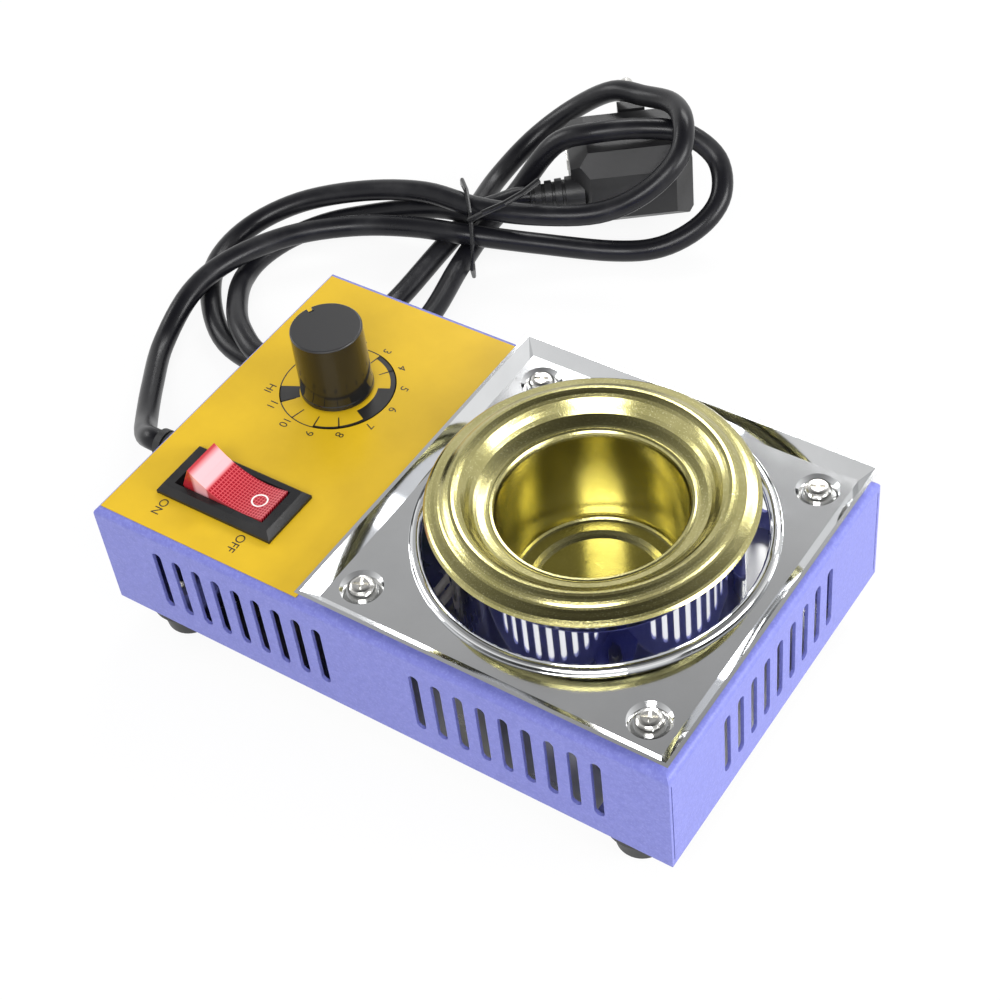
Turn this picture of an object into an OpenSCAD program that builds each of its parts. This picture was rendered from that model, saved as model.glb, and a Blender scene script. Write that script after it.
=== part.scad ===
// Solder pot: a folded steel box with a spun crucible in a drip tray, a dial knob,
// a rocker switch and a mains cord wound up behind it.
// X runs along the box towards the pot, -Y is the front, Z = 0 is the floor.

/* [Housing] */
// Length of the box along X
case_l = 179; // [176:1:200]
// Depth of the box along Y, and the width of the drip tray
case_w = 109; // [107:1:125]
// Height of the folded sheet
case_h = 36; // [34:1:46]
// Thickness of the folded sheet
sheet_t = 1; // [0.8:0.1:1.4]
// Outside radius of the top edge bends
bend_r = 2; // [1.6:0.1:4]
// Width of a vent slot
slot_w = 3; // [2:0.25:4]
// Length of a vent slot
slot_l = 21.5; // [12:0.5:23]
// Distance from one slot to the next
slot_pitch = 6.7; // [5.5:0.1:6.9]
// Slots in each group
slot_count = 9; // [3:1:9]
// Distance from the middle of a long side to its nearest slots
slot_start = 15.4; // [10:0.2:18]
// Thickness of the base plate
base_t = 1; // [0.8:0.1:1.5]

/* [Drip tray] */
// Length of the tray along X, flush with the box's right end
tray_l = 109; // [107:1:112]
// Thickness of the tray's sheet
tray_t = 0.8; // [0.6:0.1:1]
// Height of the sloped rim
rim_h = 4.3; // [3:0.1:6]
// How far the rim leans out
rim_w = 4; // [3:0.1:5]
// Height at which the dimples hold the tray above the box
tray_lift = 1.2; // [0.8:0.1:1.6]
// Distance from the tray's middle to its screws
tray_screw_at = 42.5; // [41.5:0.1:43]
// Radius of the rolled bead round the hole
bead_r = 1.7; // [1.4:0.1:2]
// Gap between the sleeve and the tray's hole
tray_gap = 5.8; // [4:0.1:6]

/* [Pot] */
// Distance of the pot from the tray's middle, towards the switch
pot_shift_x = 1; // [0:0.5:2]
// Distance of the pot from the tray's middle, towards the back
pot_shift_y = 3; // [0:0.5:3]
// Inside radius of the crucible's mouth
mouth_r = 25; // [23:0.5:26]
// Height of the mouth above the top of the box
mouth_rise = 11.5; // [9:0.5:14]
// Radius of the crucible's flange
flange_r = 43; // [42.5:0.1:44]
// Radius of the crucible's rounded ridge
ridge_r = 35.5; // [34:0.1:36]
// Height of the ridge above the mouth
ridge_h = 6.7; // [5:0.1:8]
// Depth from the mouth to the bottom of the bowl
bowl_depth = 33; // [28:0.5:34]
// Wall of the spun crucible
crucible_t = 1; // [0.8:0.1:1.2]
// Outside radius of the polished heat sleeve
sleeve_r = 39; // [38:0.1:39.2]
// Wall of the heat sleeve
sleeve_t = 0.6; // [0.5:0.1:1]
// Thickness of the insulating wool
wool_t = 6.5; // [4:0.1:6.8]
// Thickness of the band heater
band_t = 3; // [2:0.1:3.4]
// Height of the band heater
band_h = 22; // [14:1:24]
// Diameter of the stud that holds the crucible down
stud_d = 5; // [4:0.5:6]

/* [Knob and dial] */
// Distance from the box's left end to the knob and the switch
controls_at = 31.5; // [28:0.5:34]
// How far the knob lies behind the middle
knob_y = 15; // [12:1:18]
// Radius of the knob at its foot
knob_r = 10.4; // [9.5:0.1:12]
// Height of the knob
knob_h = 22; // [18:0.5:26]
// Gap between the knob and the label
knob_gap = 0.75; // [0.5:0.05:1.5]
// Diameter of the control's shaft
shaft_d = 6; // [5:0.5:6.4]
// Angle through which the knob turns, from LO to HI
knob_turn = 300; // [270:5:320]
// Thickness of the dial's label
label_t = 0.25; // [0.2:0.05:0.5]

/* [Rocker switch] */
// How far the switch lies in front of the middle
switch_y = 32; // [29:0.5:34]
// Length of the bezel along X
bezel_l = 38.6; // [38:0.1:42]
// Width of the bezel along Y
bezel_w = 18.8; // [18.4:0.1:22]
// Height of the bezel
bezel_h = 3; // [2.6:0.1:3.6]
// Length of the opening that the rocker tips in
rocker_room = 30; // [29.8:0.1:31]
// Width of the rocker
rocker_w = 11.6; // [10:0.1:12]
// Tilt of the rocker at each end of its travel
rocker_tilt = 16.3; // [12:0.1:16.6]

/* [Feet and screws] */
// Height of the rubber feet
foot_h = 11; // [10:0.5:14]
// Radius of a foot where it meets the floor
foot_r = 7; // [6:0.1:7.6]
// Distance of the feet from the box's ends
foot_in_x = 15; // [14:0.5:18]
// Distance of the feet from the box's sides
foot_in_y = 10; // [9.5:0.5:14]
// Thread diameter of the screws
screw_d = 4; // [3:0.5:4]
// Diameter of the round screw heads
head_d = 7.5; // [6.5:0.1:8]
// Height of the round screw heads
head_h = 2.6; // [2:0.1:3]

/* [Cord] */
// Diameter of the mains cord
cord_d = 7; // [6:0.1:7]
// Distance of the cord's exit in front of the middle
exit_y = 8; // [8:1:8]
// Height of the cord's exit above the floor
exit_z = 20; // [20:1:20]

/* [Hidden] */
$fn = 72;

slip = 0.3;        // gap round pieces that drop into each other
run = 0.05;        // radial clearance of a shaft in its bore
screw_slack = 0.2; // radial clearance of a screw in sheet metal
over = 0.5;        // how far a cutter passes its wall

base_z = foot_h;                 // underside of the box and of the base plate
floor_z = base_z + base_t;       // top of the base plate
top_z = base_z + case_h;         // top of the box
roof_z = top_z - sheet_t;        // underside of the box's top
label_z = top_z + label_t;
left = -case_l/2;
right = case_l/2;
front = -case_w/2;
screw_r = screw_d/2;
clear_r = screw_r + screw_slack;

slot_z = base_z + case_h/2;

tray_x = right - tray_l/2;
tray_z = top_z + tray_lift;      // underside of the tray's floor
tray_top = tray_z + tray_t;
pot_x = tray_x - pot_shift_x;
pot_y = pot_shift_y;
hole_r = sleeve_r + tray_gap;    // inside edge of the tray's bead
case_hole_r = hole_r + 1.2;
dimple_r = head_d/2 + 2.4;

mouth_z = top_z + mouth_rise;
bowl_z = mouth_z - bowl_depth;   // middle of the sheet at the crucible's bottom
crucible_bottom = bowl_z - crucible_t/2;
wall_r = mouth_r + crucible_t/2; // outside of the crucible's straight wall
band_z = crucible_bottom + 6;
band_in = wall_r + slip;
band_out = band_in + band_t;
wool_out = sleeve_r - sleeve_t - slip;
wool_in = wool_out - wool_t;
wool_top = mouth_z - 6;
flange_rise = 4.3;               // height of the flange above the mouth, where it meets the ridge
lead_y = 6;                      // how far the heater's leads lie to each side
stud_r = stud_d/2;
spacer_r = stud_r + 5.5;

knob_x = left + controls_at;
knob_z = label_z + knob_gap;
shaft_r = shaft_d/2;
shaft_bore = shaft_r + run;
bush_r = shaft_r + 2;            // threaded bush of the control
control_r = 8.5;
control_h = 10;
board_top = roof_z - control_h;
board_t = 1.6;
board_z = board_top - board_t;
bush_top = label_z + 4.6;

switch_x = knob_x;
pivot_z = top_z - 2;             // height of the rocker's pivot
bezel_z = label_z + bezel_h;
throat_l = bezel_l - 3;          // body below the bezel
throat_w = bezel_w - 3.2;
rocker_gap = 0.4;
pocket_w = rocker_w + 2*rocker_gap;
pin_r = 1.3;
pocket_z = pivot_z - 7;
switch_bottom = pivot_z - 16;
tab_l = 9;

foot_x = right - foot_in_x;
foot_y = case_w/2 - foot_in_y;
lip_z = floor_z;                 // the box's inner tabs lie on the base plate
nut_h = 0.8*screw_d;
nut_r = 1.02*screw_d;            // across the corners of a nut, from its middle

block_x = pot_x - sleeve_r - 19;    // the block keeps its distance from the sleeve
block_y = -20;
block_l = 20;
block_w = 12;
block_h = 9;
lug_x = left + 14;
lug_y = -24;
cord_r = cord_d/2;
relief_out = 21.5;               // length of the strain relief outside the box
relief_hole = 5.6;
relief_in = sheet_t + 3.1;        // its inner face, measured from the box's end

plug_l = 40;
plug_w = 30;
plug_h = 28;
plug_lead = -9;                  // where the cord enters the plug, across it
plug_lead_l = 14;

// The cord's route, from the strain relief round both loops to the plug
cord_route = [
    [-111, -8, 20], [-115, -8, 20], [-122, -4, 15], [-131, 5, 9], [-142, 20, 6], [-152, 37, 5],
    [-155, 56, 10],
    [-153, 74, 11], [-143, 93, 11], [-127, 107, 11], [-108, 115, 12],
    [-88, 120, 12.5], [-69, 131, 8], [-48, 143, 4], [-34, 150, 6], [-25, 160, 11], [-23, 170, 17],
    [-29, 178, 24], [-40, 177, 31], [-52, 171, 33], [-65, 162, 33], [-78, 157, 27], [-89, 148, 9],
    [-91, 133, 5.5], [-88, 112, 5], [-84, 88, 3.5], [-85, 63, 3.5], [-97, 49, 3.5],
    [-115, 45, 3.5], [-135, 48, 3.5], [-152, 61, 3.5], [-163, 78, 3.5], [-163, 96, 5],
    [-151, 110, 10], [-131, 120, 15], [-109, 125, 19],
    [-88, 126, 19.5], [-69, 131, 20], [-51, 140, 21], [-39, 149, 27], [-33, 160, 35],
    [-37, 171, 40], [-47, 181, 38], [-60, 185, 34], [-73, 186, 31], [-88, 184, 20],
    [-99, 174, 10], [-103, 157, 4], [-99, 136, 5.5], [-98, 113, 5], [-98, 88, 3.5],
    [-98, 68, 7], [-102, 53, 11], [-114, 43, 11], [-128, 49, 11], [-140, 61, 8], [-150, 77, 3.5],
    [-150, 94, 3.5], [-142, 110, 4], [-126, 119, 8], [-108, 126, 12],
    [-95, 130, 12.5], [-89, 136, 13], [-85, 142, 13], [-81, 145, 13]];
cord_end = cord_route[len(cord_route) - 1];
cord_last = cord_end - cord_route[len(cord_route) - 2];
plug_turn = atan2(cord_last[1], cord_last[0]);

// The tie's loop round the five crossing strands, and its twisted ends
tie_d = 1.4;
tie_loop = [
    [-84, 114, 1], [-93, 126, 0.8], [-102, 138, 1], [-105, 142, 6], [-104, 139, 14],
    [-99, 133, 22], [-93, 127, 24.5], [-87, 120, 22], [-83, 114, 15], [-82, 111, 7], [-84, 114, 1]];
tie_tail = [[-86, 118, 21], [-81, 119, 25], [-76, 124, 27], [-73, 130, 28], [-71, 137, 29]];

// ---------- helpers ----------

// Offsets a line of [r, z] points sideways by d, keeping its ends square
function line_way(p, i) = p[min(i + 1, len(p) - 1)] - p[max(i - 1, 0)];
function beside(p, d) = [for (i = [0:len(p) - 1])
    let (w = line_way(p, i)) p[i] + d*[w[1], -w[0]]/norm(w)];
function sheet_outline(p, t) =
    concat(beside(p, t/2), [for (i = [len(p) - 1:-1:0]) beside(p, -t/2)[i]]);

// Rounds a line of points by a curve that passes through every one
function curve_point(p, i, t) =
    let (a = p[max(i - 1, 0)], b = p[i], c = p[i + 1], d = p[min(i + 2, len(p) - 1)])
    (2*b + (c - a)*t + (2*a - 5*b + 4*c - d)*t*t + (3*b - a - 3*c + d)*t*t*t)/2;
function curve(p, steps) = concat(
    [for (i = [0:len(p) - 2]) for (k = [0:steps - 1]) curve_point(p, i, k/steps)],
    [p[len(p) - 1]]);

function arc_points(c, r, a0, a1, n) =
    [for (k = [0:n]) let (a = a0 + (a1 - a0)*k/n) c + r*[cos(a), sin(a)]];

// Sweeps a round tube along points that never run straight up
module tube(p, r, sides = 10) {
    n = len(p);
    way = [for (i = [0:n - 1])
        let (w = p[min(i + 1, n - 1)] - p[max(i - 1, 0)]) w/norm(w)];
    side = [for (w = way) let (s = cross(w, [0, 0, 1])) s/norm(s)];
    ring = [for (i = [0:n - 1]) for (k = [0:sides - 1])
        let (a = 360*k/sides, up = cross(side[i], way[i])) p[i] + r*(cos(a)*side[i] + sin(a)*up)];
    skin = [for (i = [0:n - 2]) for (k = [0:sides - 1])
        let (a = i*sides + k, b = i*sides + (k + 1) % sides) [a, a + sides, b + sides, b]];
    polyhedron(ring, concat([[for (k = [0:sides - 1]) k]], skin,
        [[for (k = [sides - 1:-1:0]) (n - 1)*sides + k]]), convexity = 8);
}

// A hexagonal nut with its bore, standing on z = 0
module nut(d, h) {
    difference() {
        cylinder(r = 1.02*d, h = h, $fn = 6);
        translate([0, 0, -over]) cylinder(r = d/2 + run, h = h + 2*over);
    }
}

// A round-headed cross-slotted screw: its head stands on z = 0 and its thread hangs below
module screw(length) {
    translate([0, 0, -length]) cylinder(r = screw_r, h = length + over);
    difference() {
        rotate_extrude()
            polygon(concat([[0, 0], [head_d/2, 0], [head_d/2, 0.3*head_h]],
                arc_points([head_d/2 - 0.7*head_h, 0.3*head_h], 0.7*head_h, 0, 90, 6),
                [[0, head_h]]));
        for (turn = [0, 90]) rotate([0, 0, turn])
            translate([-0.27*head_d, -0.4, 0.45*head_h]) cube([0.54*head_d, 0.8, head_h]);
    }
}

module at_pot() translate([pot_x, pot_y, 0]) children();
module at_knob() translate([knob_x, knob_y, 0]) children();
module at_switch() translate([switch_x, -switch_y, 0]) children();
module at_feet() for (x = [-foot_x, foot_x], y = [-foot_y, foot_y]) translate([x, y, 0]) children();
module at_tray_screws()
    for (x = [-tray_screw_at, tray_screw_at], y = [-tray_screw_at, tray_screw_at])
        translate([tray_x + x, y, 0]) children();

// ---------- housing ----------

// Section of the box with bent upper edges, w wide and h high
module bent_section(w, h, r) {
    translate([-w/2, 0]) square([w, h - r]);
    translate([-w/2 + r, 0]) square([w - 2*r, h]);
    for (x = [-1, 1]) translate([x*(w/2 - r), h - r]) circle(r = r, $fn = 32);
}

module box_form(l, w, h, r) {
    intersection() {
        translate([0, w/2, 0]) rotate([90, 0, 0]) linear_extrude(w) bent_section(l, h, r);
        translate([-l/2, 0, 0]) rotate([90, 0, 90]) linear_extrude(l) bent_section(w, h, r);
    }
}

// One slot with round ends, cut through along Y
module slot(depth) {
    straight = slot_l - slot_w;
    translate([-slot_w/2, -depth/2, slot_z - straight/2]) cube([slot_w, depth, straight]);
    for (z = [-1, 1]) translate([0, depth/2, slot_z + z*straight/2])
        rotate([90, 0, 0]) cylinder(d = slot_w, h = depth, $fn = 24);
}

module slots() {
    depth = 4*sheet_t;
    last = (slot_count - 1)*slot_pitch;
    for (y = [-1, 1], x = [-1, 1], i = [0:slot_count - 1])
        translate([x*(slot_start + i*slot_pitch), y*(case_w/2 - sheet_t/2), 0]) slot(depth);
    for (i = [0:slot_count - 1])
        translate([right - sheet_t/2, i*slot_pitch - last/2, 0]) rotate([0, 0, 90]) slot(depth);
}

module housing() color("royalblue") {
    tab_x = 24;
    tab_y = 17;
    seam = 0.35;
    difference() {
        union() {
            difference() {
                translate([0, 0, base_z]) box_form(case_l, case_w, case_h, bend_r);
                translate([0, 0, base_z - over])
                    box_form(case_l - 2*sheet_t, case_w - 2*sheet_t,
                             case_h - sheet_t + over, bend_r - sheet_t);
            }
            for (x = [-1, 1], y = [-1, 1])
                translate([x > 0 ? right - tab_x : left, y > 0 ? case_w/2 - tab_y : front, lip_z])
                    cube([tab_x, tab_y, sheet_t]);
        }
        slots();
        at_pot() translate([0, 0, roof_z - over]) cylinder(r = case_hole_r, h = sheet_t + 2*over);
        at_switch() translate([-throat_l/2 - slip, -throat_w/2 - slip, roof_z - over])
            cube([throat_l + 2*slip, throat_w + 2*slip, sheet_t + 2*over]);
        at_knob() translate([0, 0, roof_z - over])
            cylinder(r = bush_r + screw_slack, h = sheet_t + 2*over);
        at_tray_screws() translate([0, 0, roof_z - over])
            cylinder(r = clear_r, h = sheet_t + 2*over, $fn = 32);
        at_feet() translate([0, 0, lip_z - over])
            cylinder(r = clear_r, h = sheet_t + 2*over, $fn = 32);
        translate([left - over, -exit_y, exit_z]) rotate([0, 90, 0])
            cylinder(r = relief_hole, h = sheet_t + 2*over);
        // open seam where the end panel meets the folded edge of each side
        for (x = [-1, 1], y = [-1, 1])
            translate([x > 0 ? right - sheet_t - over : left - over,
                       y*(case_w/2 - sheet_t - seam/2) - seam/2, lip_z + sheet_t])
                cube([sheet_t + 2*over, seam, case_h - base_t - sheet_t - 3.5]);
    }
}

module base_plate() color("silver") {
    l = case_l - 2*(sheet_t + slip);
    w = case_w - 2*(sheet_t + slip);
    difference() {
        translate([-l/2, -w/2, base_z]) cube([l, w, base_t]);
        at_feet() translate([0, 0, base_z - over])
            cylinder(r = clear_r, h = base_t + 2*over, $fn = 32);
        at_pot() translate([0, 0, base_z - over])
            cylinder(r = stud_r + screw_slack, h = base_t + 2*over, $fn = 32);
        translate([lug_x, lug_y, base_z - over])
            cylinder(r = screw_r + run, h = base_t + 2*over, $fn = 32);
    }
}

module dial_label() color("gold") {
    x0 = left + 1.5;
    x1 = right - tray_l - 2;
    w = case_w - 4;
    difference() {
        translate([x0, -w/2, top_z]) cube([x1 - x0, w, label_t]);
        at_switch() translate([-throat_l/2 - slip, -throat_w/2 - slip, top_z - over])
            cube([throat_l + 2*slip, throat_w + 2*slip, label_t + 2*over]);
        at_knob() translate([0, 0, top_z - over])
            cylinder(r = bush_r + screw_slack, h = label_t + 2*over);
    }
}

// ---------- drip tray ----------

// Section through the tray's pan: half widths at the bottom and at the top of the rim
module pan_section(w0, w1, z0, z1) polygon([[-w0, z0], [w0, z0], [w1, z1], [-w1, z1]]);

module pan_form(l, w, inset, z0, z1) {
    slope = rim_w/rim_h;
    low = (z0 - tray_z)*slope - rim_w - inset;
    high = (z1 - tray_z)*slope - rim_w - inset;
    intersection() {
        translate([0, w/2, 0]) rotate([90, 0, 0])
            linear_extrude(w) pan_section(l/2 + low, l/2 + high, z0, z1);
        translate([-l/2, 0, 0]) rotate([90, 0, 90])
            linear_extrude(l) pan_section(w/2 + low, w/2 + high, z0, z1);
    }
}

module drip_tray() color("gainsboro") {
    wall = tray_t*norm([rim_w, rim_h])/rim_h;
    bead_mid = hole_r + bead_r;
    difference() {
        translate([tray_x, 0, 0]) difference() {
            pan_form(tray_l, case_w, 0, tray_z, tray_z + rim_h);
            pan_form(tray_l, case_w, wall, tray_top, tray_z + rim_h + over);
        }
        at_pot() translate([0, 0, tray_z - over])
            cylinder(r = bead_mid + bead_r - tray_t, h = rim_h + 2*over, $fn = 96);
        at_tray_screws() translate([0, 0, tray_z - over])
            cylinder(r = dimple_r, h = tray_t + 2*over);
    }
    // rolled bead with its inner edge turned down
    at_pot() rotate_extrude($fn = 96) polygon(concat(
        [[hole_r, tray_z - 0.4]],
        arc_points([bead_mid, tray_top], bead_r, 180, 0, 14),
        [[bead_mid + bead_r, tray_z], [bead_mid + bead_r - tray_t, tray_z]],
        arc_points([bead_mid, tray_top], bead_r - tray_t, 0, 180, 10),
        [[hole_r + tray_t, tray_z - 0.4]]));
    // dimples that stand on the box
    at_tray_screws() rotate_extrude($fn = 48) polygon([
        [clear_r, top_z], [dimple_r - 1.6, top_z], [dimple_r + 0.1, tray_z],
        [dimple_r + 0.1, tray_top], [dimple_r - 0.4, tray_top], [dimple_r - 2, top_z + tray_t],
        [clear_r, top_z + tray_t]]);
}

module tray_screws() color("lightgray")
    at_tray_screws() translate([0, 0, top_z + tray_t]) rotate([0, 0, 25]) screw(8);

module tray_nuts() color("lightgray")
    at_tray_screws() translate([0, 0, roof_z - nut_h]) nut(screw_d, nut_h);

// ---------- pot ----------

// Middle line of the crucible's sheet from the edge of its flange to its bottom
crucible_line = concat(
    curve([[flange_r - 0.4, mouth_z + 2.5], [flange_r - 1.4, mouth_z + 3.5],
           [ridge_r + 3.4, mouth_z + flange_rise], [ridge_r + 1.8, mouth_z + ridge_h - 1.2],
           [ridge_r, mouth_z + ridge_h - crucible_t/2], [ridge_r - 2, mouth_z + ridge_h - 1.6],
           [mouth_r + 5.6, mouth_z + 1.9], [mouth_r + 2.8, mouth_z + 0.8],
           [mouth_r + 1.7, mouth_z + 0.2], [mouth_r + 0.8, mouth_z + 0.3],
           [mouth_r + 0.1, mouth_z - 0.9]], 3),
    [[mouth_r, mouth_z - 3], [mouth_r - 0.5, bowl_z + 5.2]],
    arc_points([mouth_r - 3.1, bowl_z + 3.6], 2.5, 0, -80, 4),
    [[mouth_r - 5.6, bowl_z + 1.1], [mouth_r - 6.6, bowl_z + 0.5], [mouth_r - 7.8, bowl_z],
     [2, bowl_z], [0, bowl_z]]);

module crucible() color("darkkhaki")
    at_pot() rotate_extrude($fn = 96) polygon(sheet_outline(crucible_line, crucible_t));

module heat_sleeve() color("gainsboro") {
    sleeve_top = mouth_z + flange_rise - crucible_t/2 - 0.1 - slip;
    at_pot() translate([0, 0, floor_z]) difference() {
        cylinder(r = sleeve_r, h = sleeve_top - floor_z, $fn = 96);
        translate([0, 0, -over])
            cylinder(r = sleeve_r - sleeve_t, h = sleeve_top - floor_z + 2*over, $fn = 96);
        // way out for the heater's leads
        translate([-sleeve_r - over, -lead_y - 3, -over]) cube([10, 2*lead_y + 6, 9 + over]);
    }
}

ear_w = 9;         // reach of the band heater's ears
ear_t = 1.5;
ear_gap = 4;
ear_room = 2*ear_t + ear_gap + 14;
clamp_x = -band_out - nut_r - 0.3;
clamp_z = band_z + band_h/2;

// A felted ring, open where the band heater's ears and leads come out
module insulating_wool() color("ivory")
    at_pot() difference() {
        translate([0, 0, floor_z]) cylinder(r = wool_out, h = wool_top - floor_z, $fn = 96);
        translate([0, 0, floor_z - over])
            cylinder(r = wool_in, h = wool_top - floor_z + 2*over, $fn = 96);
        translate([-wool_out - over, -ear_room/2, floor_z - over])
            cube([wool_t + 4, ear_room, wool_top - floor_z + 2*over]);
    }

module band_heater() color("silver")
    at_pot() difference() {
        union() {
            translate([0, 0, band_z]) cylinder(r = band_out, h = band_h, $fn = 96);
            for (y = [-1, 1])
                translate([-band_out - ear_w + 1, y*(ear_gap + ear_t)/2 - ear_t/2, band_z + 3])
                    cube([ear_w, ear_t, band_h - 6]);
        }
        translate([0, 0, band_z - over]) cylinder(r = band_in, h = band_h + 2*over, $fn = 96);
        translate([-band_out - ear_w, -ear_gap/2, band_z - over])
            cube([ear_w + band_t + 1, ear_gap, band_h + 2*over]);
        translate([clamp_x, 12, clamp_z]) rotate([90, 0, 0])
            cylinder(r = clear_r, h = 24, $fn = 32);
    }

module heater_clamp_screw() color("lightgray")
    at_pot() translate([clamp_x, 0, clamp_z]) {
        far = ear_gap/2 + ear_t;
        translate([0, -far, 0]) rotate([90, 0, 0]) screw(2*far + 5);
        translate([0, far + nut_h, 0]) rotate([90, 0, 0]) nut(screw_d, nut_h);
    }

module ceramic_spacer() color("white")
    at_pot() translate([0, 0, floor_z]) difference() {
        cylinder(r = spacer_r, h = crucible_bottom - floor_z);
        translate([0, 0, -over])
            cylinder(r = stud_r + screw_slack, h = crucible_bottom - floor_z + 2*over);
    }

stud_nut_h = 0.8*stud_d;

module crucible_stud() color("silver")
    at_pot() translate([0, 0, base_z - stud_nut_h - 1.5])
        cylinder(r = stud_r, h = crucible_bottom - base_z + stud_nut_h + 1.5, $fn = 32);

module stud_nut() color("silver")
    at_pot() translate([0, 0, base_z - stud_nut_h]) nut(stud_d, stud_nut_h);

// ---------- knob and power control ----------

module knob() color("dimgray") {
    top = knob_z + knob_h;
    top_r = knob_r - 0.35;
    cavity_r = knob_r - 1.9;
    cavity_top = bush_top + 0.6;
    bore_top = top - 7;
    at_knob() difference() {
        rotate_extrude($fn = 96) polygon(concat(
            [[0, knob_z], [knob_r, knob_z], [knob_r, knob_z + 1.2], [knob_r - 0.15, knob_z + 1.5]],
            arc_points([top_r - 0.5, top - 0.5], 0.5, 0, 90, 4), [[0, top]]));
        translate([0, 0, knob_z - over]) cylinder(r = cavity_r, h = cavity_top - knob_z + over);
        translate([0, 0, knob_z]) cylinder(r = shaft_bore, h = bore_top - knob_z, $fn = 48);
        rotate([0, 0, 155]) translate([top_r - 2.2, -0.8, top - 1.5]) cube([4, 1.6, 3]);
    }
}

module control_shaft() color("silver")
    at_knob() translate([0, 0, roof_z - 5])
        cylinder(r = shaft_r, h = knob_z + knob_h - 7.2 - roof_z + 5, $fn = 48);

module control_body() color("slategray")
    at_knob() difference() {
        union() {
            translate([0, 0, board_top]) cylinder(r = control_r, h = roof_z - board_top);
            translate([0, 0, board_top]) cylinder(r = bush_r, h = bush_top - board_top, $fn = 48);
        }
        translate([0, 0, roof_z - 5.2]) cylinder(r = shaft_bore, h = bush_top, $fn = 48);
    }

washer_t = 0.6;

module control_washer() color("silver")
    at_knob() translate([0, 0, label_z]) difference() {
        cylinder(r = bush_r + 2.4, h = washer_t);
        translate([0, 0, -over]) cylinder(r = bush_r + run, h = washer_t + 2*over);
    }

module control_nut() color("silver")
    at_knob() translate([0, 0, label_z + washer_t]) difference() {
        cylinder(r = bush_r + 2.4, h = 2.2, $fn = 6);
        translate([0, 0, -over]) cylinder(r = bush_r + run, h = 2.2 + 2*over);
    }

// ---------- rocker switch ----------

module switch_body() color("black")
    at_switch() difference() {
        union() {
            // bezel with sloped sides, as two crossed prisms
            intersection() {
                translate([0, bezel_w/2, 0]) rotate([90, 0, 0]) linear_extrude(bezel_w)
                    bezel_section(bezel_l);
                translate([-bezel_l/2, 0, 0]) rotate([90, 0, 90]) linear_extrude(bezel_l)
                    bezel_section(bezel_w);
            }
            translate([-throat_l/2, -throat_w/2, switch_bottom])
                cube([throat_l, throat_w, label_z - switch_bottom + over]);
        }
        translate([-rocker_room/2, -pocket_w/2, pocket_z])
            cube([rocker_room, pocket_w, bezel_z - pocket_z + over]);
        translate([0, throat_w/2 + over, pivot_z]) rotate([90, 0, 0])
            cylinder(r = pin_r + run, h = throat_w + 2*over, $fn = 32);
    }

module bezel_section(w) {
    side = 1;
    bevel = 1.5;
    polygon([[-w/2, label_z], [w/2, label_z], [w/2, label_z + side],
             [w/2 - bevel, bezel_z], [bevel - w/2, bezel_z], [-w/2, label_z + side]]);
}

// Side view of the rocker about its pivot: a dished top over a narrower heel
module rocker() color("red")
    at_switch() translate([0, 0, pivot_z]) rotate([0, rocker_tilt, 0]) {
        reach = 12.3;
        translate([0, rocker_w/2, 0]) rotate([90, 0, 0]) linear_extrude(rocker_w)
            polygon(concat(
                [[-9, -4], [9, -4], [reach + 1, 2]],
                [for (k = [6:-1:-6]) let (x = reach*k/6) [x, 6 + 3.6*pow(x/reach, 2)]],
                [[-reach - 1, 2]]));
        translate([0, throat_w/2 - 0.6, 0]) rotate([90, 0, 0])
            cylinder(r = pin_r, h = throat_w - 1.2, $fn = 32);
    }

module switch_tabs() color("peru")
    at_switch() for (x = [-10, 0, 10])
        translate([x - 0.4, -2.4, switch_bottom - tab_l]) cube([0.8, 4.8, tab_l]);

// ---------- board ----------

board_l = 36;
board_w = 37;

module control_board() color("darkgreen")
    at_knob() translate([-board_l/2 + 1, -board_w/2 + 1, board_z]) cube([board_l, board_w, board_t]);

module film_capacitor() color("firebrick")
    at_knob() translate([-14, 8, board_z - 10]) cube([13, 6, 10]);

sink_x = 14.5;

module triac() color("black")
    at_knob() translate([sink_x, 0, 0]) {
        translate([-4.5, -5, board_z - 15]) cube([4.5, 10, 9]);
        for (y = [-2.5, 0, 2.5]) translate([-2.6, y - 0.4, board_z - 6.2]) cube([0.6, 0.8, 6.2]);
    }

// A folded aluminium channel behind the triac
module triac_heat_sink() color("lightgray")
    at_knob() translate([sink_x, -8, board_z - 18]) {
        cube([1.5, 16, 18]);
        for (y = [0, 14.5]) translate([0, y, 0]) cube([6, 1.5, 18]);
    }

module board_resistors() color("tan")
    at_knob() for (y = [-13, -8]) translate([-12, y, board_z - 3.2]) {
        rotate([0, 90, 0]) cylinder(r = 1.7, h = 9, $fn = 24);
        for (x = [0.8, 7.6]) translate([x, -0.3, 1]) cube([0.6, 0.6, 2.2]);
    }

// ---------- wiring ----------

module terminal_block() color("ivory")
    translate([block_x - block_l/2, block_y - block_w/2, floor_z]) difference() {
        cube([block_l, block_w, block_h]);
        for (i = [0:2]) translate([(i + 0.5)*block_l/3, block_w/2, block_h - 4])
            cylinder(r = 1.8, h = 4 + over, $fn = 24);
    }

module terminal_screws() color("lightgray")
    for (i = [0:2])
        translate([block_x - block_l/2 + (i + 0.5)*block_l/3, block_y, floor_z + block_h - 4])
            difference() {
                cylinder(r = 1.7, h = 3, $fn = 24);
                translate([-2, -0.3, 2]) cube([4, 0.6, 2]);
            }

wire_r = 1.2;

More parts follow.
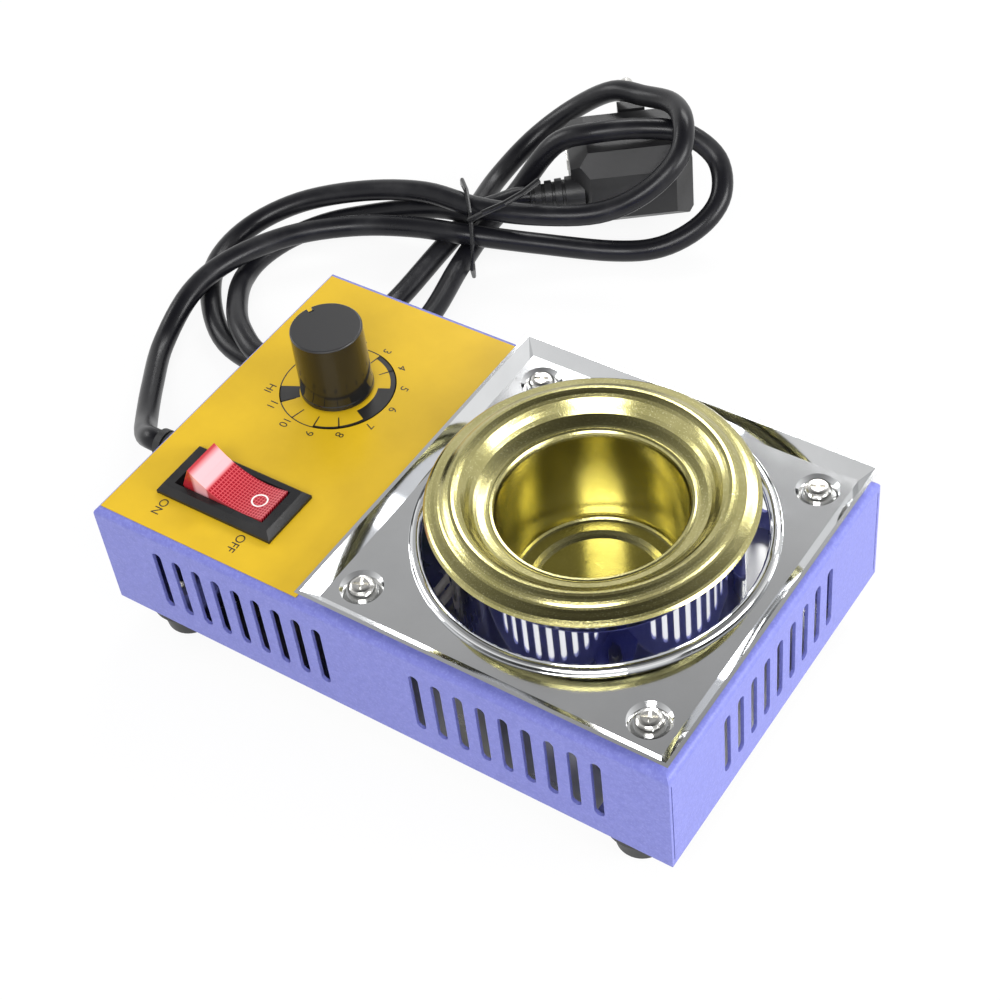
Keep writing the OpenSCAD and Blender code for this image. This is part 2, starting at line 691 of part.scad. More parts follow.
// Two sleeved leads from the band heater, down and out of the sleeve to the terminal block
module heater_leads() color("ivory")
    for (side = [-1, 1]) {
        y = pot_y + side*lead_y;
        z = band_z + 2;
        x = pot_x - band_out;
        turn_x = pot_x - sleeve_r - 2.7 - side*1.8;
        finish = [block_x + block_l/2, block_y + side*2.6, floor_z + 3];
        tube([[x + 0.3, y, z], [x - 1.6, y, z], [x - 4.6, y, z - 5], [x - 6.4, y, z - 11],
              [x - 9.4, y, floor_z + 4.5], [turn_x, y - 4, floor_z + 4],
              [turn_x, finish[1] + 4, floor_z + 3], [turn_x - 2, finish[1], floor_z + 3],
              finish + [0.8, 0, 0], finish], wire_r, 8);
    }

module supply_wires() color("saddlebrown") {
    x0 = left + relief_in;
    for (side = [-1, 1]) {
        start = [x0, -exit_y + side*1.6, exit_z + 1];
        finish = [block_x - block_l/2, block_y + side*2.6, floor_z + 3];
        tube([start, start + [3, 0, 0], start + [9, 1, -3], start + [18, 2, -5],
              finish - [20, -8, 0], finish - [8, -2, 0], finish - [3, 0, 0], finish], wire_r, 8);
    }
}

module earth_lug() color("peru")
    translate([lug_x, lug_y, floor_z]) difference() {
        union() {
            cylinder(r = 4.2, h = 0.8);
            translate([0, -2, 0]) cube([10, 4, 0.8]);
        }
        translate([0, 0, -over]) cylinder(r = clear_r, h = 0.8 + 2*over);
    }

module earth_screw() color("lightgray")
    translate([lug_x, lug_y, floor_z + 0.8]) screw(6);

// ---------- feet ----------

module feet() color("black") {
    recess_r = head_d/2 + 0.6;
    recess_h = 5;
    at_feet() difference() {
        rotate_extrude($fn = 64) polygon(concat(
            [[0, 0]], arc_points([foot_r - 1, 1], 1, -90, 0, 5),
            [[foot_r + 1, foot_h - 3], [foot_r + 2.5, foot_h - 2.4], [foot_r + 2.5, foot_h],
             [0, foot_h]]));
        translate([0, 0, -over]) cylinder(r = recess_r, h = recess_h + over);
        cylinder(r = clear_r, h = foot_h + over, $fn = 32);
    }
}

module foot_screws() color("lightgray")
    at_feet() translate([0, 0, 5]) rotate([180, 0, 0]) screw(foot_h - 5 + base_t + sheet_t + nut_h + 1);

module foot_nuts() color("lightgray")
    at_feet() translate([0, 0, lip_z + sheet_t]) nut(screw_d, nut_h);

// ---------- cord and plug ----------

// Moulded bush with a waist that the box's wall sits in, and a ribbed tail
module strain_relief() color("black") {
    wall_gap = 0.1;
    ribs = 5;
    rib = 3.4;
    tail_r = 4.6;
    neck_r = 5.9;
    x1 = relief_out - 2.4;
    translate([left, -exit_y, exit_z]) rotate([0, -90, 0]) rotate_extrude($fn = 48)
        polygon(concat(
            [[0, -relief_in], [relief_hole + 1, -relief_in],
             [relief_hole + 1.6, -sheet_t - wall_gap], [relief_hole - wall_gap, -sheet_t - wall_gap],
             [relief_hole - wall_gap, wall_gap], [relief_hole + 2, wall_gap],
             [relief_hole + 1.6, 2.2]],
            [for (i = [0:ribs - 1]) let (z = 2.4 + i*rib, r = neck_r - i*(neck_r - tail_r)/ribs)
                each [[r, z], [r - 0.1, z + 2.2], [r - 1, z + 2.3], [r - 1.1, z + 3.3]]],
            [[tail_r, x1], [tail_r - 0.1, relief_out], [0, relief_out]]));
}

module cord() color("black") tube(cord_route, cord_r);

module at_plug()
    translate([cord_end[0], cord_end[1], 0]) rotate([0, 0, plug_turn])
        translate([plug_l/2 + plug_lead_l, -plug_lead, 0]) children();

module plug_body() color("black") {
    edge = 6;
    toe = 5;
    lead_r = 5.4;
    at_plug() {
        intersection() {
            translate([-plug_l/2, 0, 0]) rotate([90, 0, 90]) linear_extrude(plug_l)
                polygon([[toe - plug_w/2, 0], [plug_w/2 - 2, 0], [plug_w/2, 2],
                         [plug_w/2, plug_h - 4], [plug_w/2 - 4, plug_h],
                         [edge - plug_w/2, plug_h], [-plug_w/2, plug_h - edge],
                         [-plug_w/2, toe]]);
            linear_extrude(plug_h)
                polygon([[edge - plug_l/2, -plug_w/2], [plug_l/2 - edge, -plug_w/2],
                         [plug_l/2, edge - plug_w/2], [plug_l/2, plug_w/2],
                         [-plug_l/2, plug_w/2], [-plug_l/2, edge - plug_w/2]]);
            translate([0, plug_w/2, 0]) rotate([90, 0, 0]) linear_extrude(plug_w)
                polygon([[2 - plug_l/2, 0], [plug_l/2 - 2, 0], [plug_l/2, 2],
                         [plug_l/2, plug_h - edge], [plug_l/2 - edge, plug_h],
                         [edge - plug_l/2, plug_h], [-plug_l/2, plug_h - edge],
                         [-plug_l/2, 2]]);
        }
        // raised seat of the pins
        translate([-2, plug_w/2 - over, 1.5]) cube([9, 4 + over, plug_h - 3]);
        // ribbed lead-in
        translate([-plug_l/2, plug_lead, cord_end[2]]) rotate([0, -90, 0])
            rotate_extrude($fn = 40) polygon(concat(
                [[0, -4], [lead_r, -4]],
                [for (i = [0:3]) let (z = i*3.4, r = lead_r - 0.35*i)
                    each [[r, z], [r - 0.1, z + 2.2], [r - 1, z + 2.3], [r - 1, z + 3.2]]],
                [[lead_r - 1.3, plug_lead_l - 0.4], [lead_r - 1.4, plug_lead_l], [0, plug_lead_l]]));
    }
}

pin_mid = 2.5;
pin_step = 19;

module plug_pins() color("silver")
    at_plug() for (z = [-1, 1])
        translate([pin_mid, plug_w/2 + 4, plug_h/2 + z*pin_step/2]) rotate([-90, 0, 0])
            rotate_extrude($fn = 32) polygon(concat(
                [[0, 0], [2.4, 0], [2.4, 13.5]], arc_points([1.2, 13.5], 1.2, 0, 90, 4),
                [[0, 14.7]]));

module plug_earth_clips() color("silver")
    at_plug() for (x = [-1, 1])
        translate([x > 0 ? plug_l/2 : -plug_l/2 - 0.6, 4, plug_h/2 - 2]) cube([0.6, 10, 4]);

module cord_tie() color("black") {
    tube(tie_loop, tie_d/2, 8);
    tube(tie_tail, tie_d/2 + 0.3, 8);
}

housing();
base_plate();
dial_label();
drip_tray();
tray_screws();
tray_nuts();
crucible();
heat_sleeve();
insulating_wool();
band_heater();
heater_clamp_screw();
ceramic_spacer();
crucible_stud();
stud_nut();
knob();
control_shaft();
control_body();
control_washer();
control_nut();
switch_body();
rocker();
switch_tabs();
control_board();
film_capacitor();
triac();
triac_heat_sink();
board_resistors();
terminal_block();
terminal_screws();
heater_leads();
supply_wires();
earth_lug();
earth_screw();
strain_relief();
feet();
foot_screws();
foot_nuts();
cord();
plug_body();
plug_pins();
plug_earth_clips();
cord_tie();
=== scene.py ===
import bpy
import math
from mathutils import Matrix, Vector


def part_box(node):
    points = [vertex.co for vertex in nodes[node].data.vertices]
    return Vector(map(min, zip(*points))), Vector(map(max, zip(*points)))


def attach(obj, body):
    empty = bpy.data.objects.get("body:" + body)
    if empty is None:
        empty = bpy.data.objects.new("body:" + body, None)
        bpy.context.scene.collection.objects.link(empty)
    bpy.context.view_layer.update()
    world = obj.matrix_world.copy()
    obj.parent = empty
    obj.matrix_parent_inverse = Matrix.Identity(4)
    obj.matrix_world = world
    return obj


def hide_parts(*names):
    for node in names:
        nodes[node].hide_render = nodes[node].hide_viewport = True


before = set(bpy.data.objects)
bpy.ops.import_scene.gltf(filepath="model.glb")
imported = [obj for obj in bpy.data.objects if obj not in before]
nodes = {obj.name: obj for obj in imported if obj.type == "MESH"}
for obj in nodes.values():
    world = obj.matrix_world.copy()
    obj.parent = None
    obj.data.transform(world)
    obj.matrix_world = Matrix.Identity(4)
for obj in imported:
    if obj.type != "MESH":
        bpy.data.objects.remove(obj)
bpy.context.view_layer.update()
mm = 0.001
print("stage: frame loaded,", len(nodes), "nodes")


class Wire:
    # a socket that takes part in Python expressions
    def __init__(self, tree, socket):
        self.tree = tree
        self.socket = socket

    def join(self, operation, first, second=None):
        values = {0: first} if second is None else {0: first, 1: second}
        return self.tree.add("ShaderNodeMath", {"operation": operation}, values)

    def __add__(self, other): return self.join("ADD", self, other)
    def __radd__(self, other): return self.join("ADD", other, self)
    def __sub__(self, other): return self.join("SUBTRACT", self, other)
    def __rsub__(self, other): return self.join("SUBTRACT", other, self)
    def __mul__(self, other): return self.join("MULTIPLY", self, other)
    def __rmul__(self, other): return self.join("MULTIPLY", other, self)
    def __truediv__(self, other): return self.join("DIVIDE", self, other)
    def __gt__(self, other): return self.join("GREATER_THAN", self, other)
    def __lt__(self, other): return self.join("LESS_THAN", self, other)
    def frac(self): return self.join("FRACT", self)
    def size(self): return self.join("ABSOLUTE", self)


class NodeWork:
    # the nodes of one material or of the world
    def __init__(self, nodeTree):
        self.nodeTree = nodeTree

    def add(self, kind, settings=None, values=None, out=0):
        # any node, with its settings, the values or links of its sockets, and the output to use
        made = self.nodeTree.nodes.new(kind)
        for key, value in (settings or {}).items():
            setattr(made, key, value)
        for key, value in (values or {}).items():
            if isinstance(value, Wire):
                self.nodeTree.links.new(value.socket, made.inputs[key])
            else:
                made.inputs[key].default_value = value
        return Wire(self, made.outputs[out])

    def ray(self, kind):
        return self.add("ShaderNodeLightPath", out="Is %s Ray" % kind)

    def ramp(self, wire, low, high, start=0.0, end=1.0):
        return self.add("ShaderNodeMapRange", {}, {
            "Value": wire, "From Min": start, "From Max": end, "To Min": low, "To Max": high})

    def mix(self, amount, first, second):
        # the Mix node keeps its colours in sockets 6 and 7 and their mix in output 2
        first, second = (c if isinstance(c, Wire) else (*c, 1) for c in (first, second))
        return self.add("ShaderNodeMix", {"data_type": "RGBA"},
                        {0: amount, 6: first, 7: second}, 2)


class Finish(NodeWork):
    # one material round a Principled shader
    def __init__(self, name, **fixed):
        self.material = bpy.data.materials.new(name)
        self.material.use_nodes = True
        super().__init__(self.material.node_tree)
        self.shader = self.nodeTree.nodes["Principled BSDF"]
        for key, value in fixed.items():
            self.shader.inputs[key.replace("_", " ")].default_value = value

    def feed(self, key, wire):
        self.nodeTree.links.new(wire.socket, self.shader.inputs[key])

    def place(self):
        return self.add("ShaderNodeTexCoord", out="Object")

    def noise(self, scale, detail=2.0, rough=0.5, where=None):
        return self.add("ShaderNodeTexNoise", {}, {
            "Vector": where or self.place(), "Scale": scale, "Detail": detail, "Roughness": rough})

    def axis(self, letter):
        return self.add("ShaderNodeSeparateXYZ", {}, {"Vector": self.place()}, letter)

    def bump(self, wire, strength, depth):
        bumped = self.add("ShaderNodeBump", {}, {
            "Height": wire, "Strength": strength, "Distance": depth}, "Normal")
        self.feed("Normal", bumped)


def dress(finish, *names):
    for name in names:
        made = nodes[name]
        made.data.materials.clear()
        made.data.materials.append(finish.material)


def centre(name):
    low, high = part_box(name)
    return [(low[i] + high[i])/2 for i in range(3)]


camera = {"place": (0.2412, -0.2898, 0.4456), "turn": (42.948, 5.161, 33.458), "lens": 74.74}
eye = bpy.data.objects.new("eye", bpy.data.cameras.new("eye"))
eye.location = camera["place"]
eye.rotation_euler = [math.radians(a) for a in camera["turn"]]
eye.data.lens = camera["lens"]
eye.data.sensor_width = 36
eye.data.clip_start = 0.01
bpy.context.scene.collection.objects.link(eye)
bpy.context.scene.camera = eye


cordSize = {"diameter": 7, "steps": 6}
cordRoute = [
    (-111, -8, 20), (-115, -8, 20), (-122, -4, 15), (-131, 5, 9), (-142, 20, 6), (-152, 37, 5),
    (-155, 56, 10), (-153, 74, 11), (-143, 93, 11), (-127, 107, 11), (-108, 115, 12),
    (-88, 120, 12.5), (-69, 131, 8), (-48, 143, 4), (-34, 150, 6), (-25, 160, 11), (-23, 170, 17),
    (-29, 178, 24), (-40, 177, 31), (-52, 171, 33), (-65, 162, 33), (-78, 157, 27), (-89, 148, 9),
    (-91, 133, 5.5), (-88, 112, 5), (-84, 88, 3.5), (-85, 63, 3.5), (-97, 49, 3.5),
    (-115, 45, 3.5), (-135, 48, 3.5), (-152, 61, 3.5), (-163, 78, 3.5), (-163, 96, 5),
    (-151, 110, 10), (-131, 120, 15), (-109, 125, 19),
    (-88, 126, 19.5), (-69, 131, 20), (-51, 140, 21), (-39, 149, 27), (-33, 160, 35),
    (-37, 171, 40), (-47, 181, 38), (-60, 185, 34), (-73, 186, 31), (-88, 184, 20),
    (-99, 174, 10), (-103, 157, 4), (-99, 136, 5.5), (-98, 113, 5), (-98, 88, 3.5),
    (-98, 68, 7), (-102, 53, 11), (-114, 43, 11), (-128, 49, 11), (-140, 61, 8), (-150, 77, 3.5),
    (-150, 94, 3.5), (-142, 110, 4), (-126, 119, 8), (-108, 126, 12),
    (-95, 130, 12.5), (-89, 136, 13), (-85, 142, 13), (-81, 145, 13)]


def smoothLine(points, steps):
    # a curve that passes through every point
    line = []
    for i in range(len(points) - 1):
        a, b, c, d = (Vector(points[min(max(k, 0), len(points) - 1)]) for k in range(i - 1, i + 3))
        for k in range(steps):
            t = k/steps
            line.append((2*b + (c - a)*t + (2*a - 5*b + 4*c - d)*t*t + (3*b - a - 3*c + d)*t**3)/2)
    return line + [Vector(points[-1])]


def roundWire(name, points, diameter, sides=6):
    shape = bpy.data.curves.new(name, "CURVE")
    shape.dimensions = "3D"
    shape.bevel_depth = diameter/2*mm
    shape.bevel_resolution = sides
    shape.use_fill_caps = True
    spline = shape.splines.new("POLY")
    spline.points.add(len(points) - 1)
    for spot, point in zip(spline.points, points):
        spot.co = (*[v*mm for v in point], 1)
    drawn = bpy.data.objects.new(name + "_line", shape)
    bpy.context.scene.collection.objects.link(drawn)
    ready = drawn.evaluated_get(bpy.context.evaluated_depsgraph_get())
    mesh = bpy.data.meshes.new_from_object(ready)
    bpy.data.objects.remove(drawn)
    mesh.name = name
    for face in mesh.polygons:
        face.use_smooth = True
    made = bpy.data.objects.new(name, mesh)
    bpy.context.scene.collection.objects.link(made)
    return made


cordLine = smoothLine(cordRoute, cordSize["steps"])
for point in cordLine:
    point.z = max(point.z, cordSize["diameter"]/2)
cordLength = sum((b - a).length for a, b in zip(cordLine, cordLine[1:]))*mm
mainsCord = roundWire("mains_cord", cordLine, cordSize["diameter"], 8)
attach(mainsCord, "box")
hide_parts("cord")
[tuple(v*mm for v in point) for point in cordLine]
print("stage: camera and cord, length", round(cordLength, 3))


def paintFinish():
    # speckled powder coat with a fine orange peel
    look = {"blue": (0.165, 0.180, 0.520), "deep": (0.140, 0.153, 0.475), "pale": (0.27, 0.29, 0.64)}
    made = Finish("blue powder coat")
    grain = made.noise(1500, 3, 0.6)
    spots = made.noise(650, 2, 0.5)
    base = made.mix(made.ramp(spots, 0, 1, 0.35, 0.65), look["deep"], look["blue"])
    made.feed("Base Color", made.mix(made.ramp(grain, 0, 0.55, 0.5, 0.78), base, look["pale"]))
    made.feed("Roughness", made.ramp(spots, 0.34, 0.46))
    made.bump(grain + 0.6*spots, 0.22, 0.0003)
    return made


def sheetFinish(name, colour, low, high, along="X", depth=0.00002, wave=0.0):
    # bright sheet with faint rolling lines and handling marks
    made = Finish(name, Metallic=1.0)
    stretch = {"X": (4, 260, 260), "Z": (200, 200, 8)}[along]
    lines = made.noise(1.0, 3, 0.6, made.add("ShaderNodeMapping", {}, {
        "Vector": made.place(), "Scale": stretch}))
    marks = made.noise(38, 4, 0.62)
    made.feed("Base Color", made.mix(made.ramp(marks, 0, 1, 0.3, 0.75), colour,
                                     tuple(0.9*c for c in colour)))
    made.feed("Roughness", made.ramp(marks, low, high, 0.35, 0.75) + 0.03*lines)
    made.bump(lines + wave*made.noise(22, 1, 0.4), 0.1, depth)
    return made


def potFinish():
    # gold-olive coat that sparkles
    look = {"gold": (0.50, 0.46, 0.21), "olive": (0.40, 0.37, 0.15), "spark": (0.80, 0.77, 0.48)}
    made = Finish("gold olive coat", Metallic=1.0)
    sparks = made.noise(2600, 1, 0.5)
    clouds = made.noise(70, 3, 0.6)
    base = made.mix(made.ramp(clouds, 0, 1, 0.35, 0.7), look["gold"], look["olive"])
    made.feed("Base Color", made.mix(made.ramp(sparks, 0, 0.6, 0.6, 0.75), base, look["spark"]))
    made.feed("Roughness", made.ramp(clouds, 0.13, 0.2) + 0.06*sparks)
    made.bump(sparks, 0.12, 0.0002)
    return made


def plasticFinish(name, colour, low, high, grain=900, strength=0.1, **fixed):
    # moulded plastic or rubber with a fine grain
    made = Finish(name, **fixed)
    fine = made.noise(grain, 3, 0.6)
    dust = made.noise(60, 4, 0.6)
    made.feed("Base Color", made.mix(made.ramp(dust, 0, 0.5, 0.5, 0.8), colour,
                                     tuple(c + 0.03 for c in colour)))
    made.feed("Roughness", made.ramp(dust, low, high, 0.35, 0.7))
    made.bump(fine, strength, 0.0001)
    return made


def labelFinish():
    # printed yellow overlay, slightly glossy
    made = Finish("yellow overlay", Coat_Weight=0.12, Coat_Roughness=0.12, Specular_IOR_Level=0.3)
    dust = made.noise(90, 3, 0.6)
    made.feed("Base Color", made.mix(made.ramp(dust, 0, 1, 0.35, 0.7), (0.62, 0.40, 0.012),
                                     (0.58, 0.37, 0.010)))
    made.feed("Roughness", made.ramp(dust, 0.32, 0.42))
    made.bump(made.noise(700, 2, 0.5), 0.05, 0.0001)
    return made


def knobFinish():
    # glossy sides with a dulled top
    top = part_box("knob")[1][2]
    made = Finish("black knob")
    dull = made.axis("Z") > (top - 0.0006)
    rub = made.noise(240, 4, 0.6)
    made.feed("Base Color", made.mix(dull, (0.010, 0.010, 0.010), (0.016, 0.016, 0.017)))
    made.feed("Roughness", 0.09 + 0.27*dull + 0.06*rub)
    made.bump(made.noise(1400, 2, 0.5), 0.06, 0.0001)
    return made


def rockerFinish():
    # clear red with a fine grid moulded inside its low half, and a painted highlight band across its
    # raised end
    low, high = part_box("rocker")
    made = Finish("clear red", Coat_Weight=0.5, Coat_Roughness=0.05)
    middle = (low[0] + high[0])/2
    x = made.axis("X")
    y = made.axis("Y")
    z = made.axis("Z")
    cell = 0.0009
    lineX = ((x/cell).frac() - 0.5).size() > 0.36
    lineY = ((y/cell).frac() - 0.5).size() > 0.36
    grid = lineX.join("MAXIMUM", lineX, lineY)
    flat = (z > 0.0440)*(y > low[1] + 0.0012)*(y < high[1] - 0.0012)
    lowHalf = (x > middle - 0.0042)*flat
    side = made.mix(made.ramp(x, 0, 1, low[0], high[0]), (0.30, 0.004, 0.010), (0.16, 0.002, 0.005))
    top = made.mix(grid, (0.30, 0.004, 0.014), (0.56, 0.06, 0.075))
    # painted highlight: a whitish pink band across the raised end stands in for the highlight on the
    # clear red
    paintedHighlightBand = made.mix(made.ramp(x, 0, 1, low[0] + 0.0035, low[0] + 0.0048),
                      (0.42, 0.02, 0.03), (0.84, 0.42, 0.45))
    raised = made.mix(made.ramp(x, 0, 1, middle - 0.0052, middle - 0.0042),
                      paintedHighlightBand, (0.46, 0.008, 0.02))
    made.feed("Base Color", made.mix(lowHalf, made.mix(flat, side, raised), top))
    made.feed("Roughness", 0.12 + 0.16*grid*lowHalf)
    made.bump(grid*lowHalf, 0.15, 0.0002)
    return made


paint = paintFinish()
tray = sheetFinish("polished tray", (0.80, 0.81, 0.82), 0.04, 0.09, "X", 0.00002, 160)
mirror = sheetFinish("mirror sleeve", (0.84, 0.85, 0.88), 0.03, 0.06, "Z", 0.000008)
zincPlate = sheetFinish("galvanised sheet", (0.66, 0.66, 0.64), 0.22, 0.36)
zinc = sheetFinish("bright zinc", (0.72, 0.71, 0.68), 0.14, 0.26)
steel = sheetFinish("plain steel", (0.50, 0.49, 0.47), 0.28, 0.42)
aluminium = sheetFinish("mill aluminium", (0.75, 0.75, 0.76), 0.28, 0.4)
brass = sheetFinish("brass", (0.72, 0.54, 0.24), 0.2, 0.34)
potCoat = potFinish()
label = labelFinish()
knobBlack = knobFinish()
clearRed = rockerFinish()
nylon = plasticFinish("black nylon", (0.010, 0.010, 0.011), 0.22, 0.34, Specular_IOR_Level=0.35)
rubber = plasticFinish("black rubber", (0.016, 0.016, 0.016), 0.45, 0.6, 600, 0.25)
sheath = plasticFinish("black sheath", (0.006, 0.006, 0.008), 0.26, 0.38, 500, 0.14,
                       Specular_IOR_Level=0.3)
plugBlack = plasticFinish("black plug", (0.012, 0.012, 0.013), 0.36, 0.5, 700, 0.2)
ceramic = plasticFinish("steatite", (0.80, 0.78, 0.70), 0.5, 0.65, 500, 0.15)
wool = plasticFinish("ceramic wool", (0.78, 0.75, 0.68), 0.85, 0.95, 260, 0.8)
green = plasticFinish("green laminate", (0.02, 0.16, 0.06), 0.3, 0.4)
dipped = plasticFinish("dipped red", (0.36, 0.03, 0.02), 0.18, 0.3)
tan = plasticFinish("tan lacquer", (0.52, 0.36, 0.18), 0.3, 0.45)
sleeving = plasticFinish("glass braid", (0.74, 0.70, 0.62), 0.6, 0.75, 900, 0.5)
brownWire = plasticFinish("brown insulation", (0.16, 0.06, 0.03), 0.35, 0.5)
ink = plasticFinish("black ink", (0.012, 0.011, 0.010), 0.35, 0.45)
whiteInk = plasticFinish("white ink", (0.86, 0.80, 0.78), 0.3, 0.4)

dress(paint, "housing")
dress(zincPlate, "base_plate")
dress(label, "dial_label")
dress(tray, "drip_tray")
dress(mirror, "heat_sleeve")
dress(potCoat, "crucible")
dress(zinc, "tray_screws", "plug_pins", "plug_earth_clips")
dress(steel, "tray_nuts", "band_heater", "heater_clamp_screw", "crucible_stud", "stud_nut",
      "control_shaft", "control_washer", "control_nut", "earth_screw", "foot_screws", "foot_nuts")
dress(brass, "switch_tabs", "terminal_screws", "earth_lug")
dress(aluminium, "triac_heat_sink")
dress(wool, "insulating_wool")
dress(ceramic, "ceramic_spacer", "terminal_block")
dress(knobBlack, "knob")
dress(clearRed, "rocker")
dress(nylon, "switch_body", "control_body", "triac", "cord_tie")
dress(rubber, "feet", "strain_relief")
dress(plugBlack, "plug_body")
dress(green, "control_board")
dress(dipped, "film_capacitor")
dress(tan, "board_resistors")
dress(sleeving, "heater_leads")
dress(brownWire, "supply_wires")
mainsCord.data.materials.append(sheath.material)
print("stage: finishes")


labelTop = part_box("dial_label")[1][2]/mm
knobX, knobY = (v/mm for v in centre("knob")[:2])
switchX, switchY = (v/mm for v in centre("switch_body")[:2])
dial = {"ring": 16.6, "numbers": 18.9, "height": 2.6, "step": 26.2, "middle": 6, "lift": 0.03,
        "line": 0.35, "wide": 11.5, "band": 1.7}


def flatPiece(name, outlines, height, finish, body="box"):
    # thin printed shapes, each a closed outline of points in mm
    points = []
    faces = []
    for outline in outlines:
        faces.append(list(range(len(points), len(points) + len(outline))))
        points += [(x*mm, y*mm, height*mm) for x, y in outline]
    mesh = bpy.data.meshes.new(name)
    mesh.from_pydata(points, [], faces)
    mesh.materials.append(finish.material)
    made = bpy.data.objects.new(name, mesh)
    bpy.context.scene.collection.objects.link(made)
    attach(made, body)
    return made


def dialSpot(radius, degrees):
    turn = math.radians(degrees)
    return knobX + radius*math.cos(turn), knobY + radius*math.sin(turn)


def dialAngle(number):
    return -dial["step"]*(number - dial["middle"])


def sector(inner, outer, start, end, steps=24):
    # pieces of a ring whose two edges may change along it
    shapes = []
    for i in range(steps):
        t0, t1 = i/steps, (i + 1)/steps
        a0, a1 = (start + (end - start)*t for t in (t0, t1))
        in0, in1 = (inner[0] + (inner[1] - inner[0])*t for t in (t0, t1))
        out0, out1 = (outer[0] + (outer[1] - outer[0])*t for t in (t0, t1))
        corners = [dialSpot(in0, a0), dialSpot(out0, a0), dialSpot(out1, a1), dialSpot(in1, a1)]
        shapes.append(corners if end > start else corners[::-1])
    return shapes


ring = dial["ring"]
shapes = sector((ring - dial["line"],)*2, (ring,)*2, -180, 180, 120)
shapes += sector((ring - dial["band"],)*2, (ring,)*2, dialAngle(5), dialAngle(3), 16)
shapes += sector((dial["wide"],)*2, (ring,)*2, dialAngle(7), dialAngle(5), 16)
shapes += sector((ring - 0.9, ring - 1.2), (ring, ring), dialAngle(9), dialAngle(7), 16)
shapes += sector((dial["wide"] - 0.7,)*2, (ring,)*2, -154, dialAngle(11), 8)
for number in (1, 2, 3, 4, 8, 9, 10, 11):
    turn = dialAngle(number)
    shapes += sector((dial["wide"] + 0.6,)*2, (ring,)*2, turn - 0.8, turn + 0.8, 1)
flatPiece("dial_scale", shapes, labelTop + dial["lift"], ink)


def lettering(name, words, x, y, height, turn, finish, z, body="box"):
    shape = bpy.data.curves.new(name, "FONT")
    shape.body = words
    shape.size = height*1.38*mm
    shape.align_x = "CENTER"
    shape.align_y = "CENTER"
    made = bpy.data.objects.new(name, shape)
    bpy.context.scene.collection.objects.link(made)
    made.location = (x*mm, y*mm, z*mm)
    made.rotation_euler = (0, 0, math.radians(turn))
    shape.materials.append(finish.material)
    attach(made, body)
    return made


markZ = labelTop + dial["lift"]
for number in range(1, 12):
    x, y = dialSpot(dial["numbers"], dialAngle(number))
    lettering("dial_number_%d" % number, str(number), x, y, dial["height"], -90, ink, markZ)
for words, turn in (("HI", -151), ("LO", 154)):
    x, y = dialSpot(dial["numbers"] + 0.5, turn)
    lettering("dial_" + words.lower(), words, x, y, dial["height"], -90, ink, markZ)
lettering("switch_on", "ON", switchX - 15.3, switchY - 13.0, 2.7, -90, ink, markZ)
lettering("switch_off", "OFF", switchX + 11.2, switchY - 13.4, 2.7, -90, ink, markZ)
print("stage: printed dial")


rockerMark = {"pivot": 45, "tilt": 16.3, "at": 7.6, "radius": 2.3, "line": 0.45, "lift": 0.05,
              "reach": 12.3, "dish": 3.6, "rise": 6}


def rockerTop(along, across):
    # a point just above the dished top, tipped with it
    tilt = math.radians(rockerMark["tilt"])
    up = rockerMark["rise"] + rockerMark["dish"]*(along/rockerMark["reach"])**2 + rockerMark["lift"]
    x = along*math.cos(tilt) + up*math.sin(tilt)
    z = up*math.cos(tilt) - along*math.sin(tilt)
    return ((switchX + x)*mm, (switchY + across)*mm, (rockerMark["pivot"] + z)*mm)


count = 40
points = []
for i in range(count):
    turn = 2*math.pi*i/count
    for radius in (rockerMark["radius"] - rockerMark["line"], rockerMark["radius"]):
        points.append(rockerTop(rockerMark["at"] + radius*math.cos(turn), radius*math.sin(turn)))
faces = [(2*i, 2*i + 1, (2*i + 3) % (2*count), (2*i + 2) % (2*count)) for i in range(count)]
mesh = bpy.data.meshes.new("off_ring")
mesh.from_pydata(points, [], faces)
mesh.materials.append(whiteInk.material)
offRing = bpy.data.objects.new("off_ring", mesh)
bpy.context.scene.collection.objects.link(offRing)
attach(offRing, "rocker_button")


def panel(name, place, target, width, height, power, colour=(1, 1, 1)):
    lamp = bpy.data.lights.new(name, "AREA")
    lamp.shape = "RECTANGLE"
    lamp.size = width
    lamp.size_y = height
    lamp.energy = power
    lamp.color = colour
    made = bpy.data.objects.new(name, lamp)
    made.location = place
    made.rotation_euler = (Vector(target) - Vector(place)).to_track_quat("-Z", "Y").to_euler()
    bpy.context.scene.collection.objects.link(made)
    return made


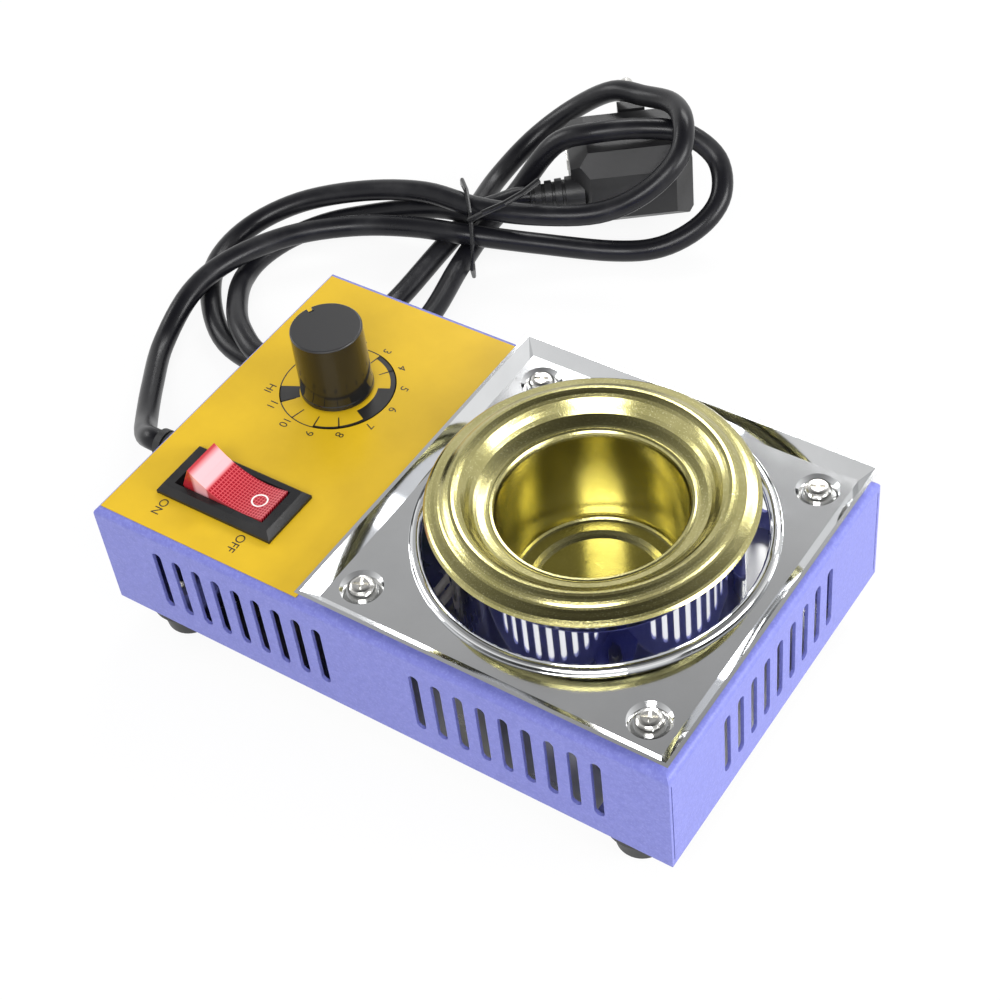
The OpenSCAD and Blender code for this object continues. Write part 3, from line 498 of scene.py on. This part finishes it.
studio = {"world": 0.5, "low": 0.95, "high": 0.06, "reach": 6, "floorGlow": 0.9}
mesh = bpy.data.meshes.new("floor")
r = studio["reach"]
mesh.from_pydata([(-r, -r, 0), (r, -r, 0), (r, r, 0), (-r, r, 0)], [], [(0, 1, 2, 3)])
floor = bpy.data.objects.new("floor", mesh)
bpy.context.scene.collection.objects.link(floor)
floorPaint = Finish("pale floor", Roughness=0.6)
floorPaint.feed("Base Color", floorPaint.mix(floorPaint.noise(3), (0.88, 0.88, 0.88),
                                             (0.84, 0.84, 0.84)))
whiteRay = floorPaint.ray("Camera") + floorPaint.ray("Glossy") + floorPaint.ray("Transmission")
surface = floorPaint.add("ShaderNodeMixShader", {}, {
    0: whiteRay*studio["floorGlow"], 1: Wire(floorPaint, floorPaint.shader.outputs[0]),
    2: floorPaint.add("ShaderNodeEmission", {}, {"Color": (1, 1, 1, 1), "Strength": 1.0})})
floorPaint.nodeTree.links.new(
    surface.socket, floorPaint.nodeTree.nodes["Material Output"].inputs["Surface"])
mesh.materials.append(floorPaint.material)

world = bpy.data.worlds.new("studio")
bpy.context.scene.world = world
world.use_nodes = True
# white walls all round and a dark ceiling, which only gloss can see
air = NodeWork(world.node_tree)
sky = world.node_tree.nodes["Background"]
sky.inputs["Color"].default_value = (1, 1, 1, 1)
height = air.add("ShaderNodeSeparateXYZ", {}, {
    "Vector": air.add("ShaderNodeTexCoord", out="Generated")}, "Z")
shade = air.ramp(height, studio["low"], studio["high"], 0.45, 0.98)
glossy = air.ray("Glossy")
seen = air.ray("Camera")
amount = glossy*shade + seen + (1 - glossy - seen)*studio["world"]
world.node_tree.links.new(amount.socket, sky.inputs["Strength"])
panel("key_panel", (0.35, -0.75, 0.8), (0, 0, 0.03), 0.7, 0.35, 8)
panel("right_panel", (0.95, 0.15, 0.4), (0.05, 0, 0.03), 0.7, 0.4, 9)
panel("left_panel", (-0.9, -0.1, 0.5), (0, 0, 0.03), 0.5, 0.3, 2.5)
panel("back_panel", (-0.15, 0.85, 0.75), (0, 0, 0.05), 0.8, 0.22, 5)
bpy.context.scene.view_settings.view_transform = "Standard"
print("stage: studio")
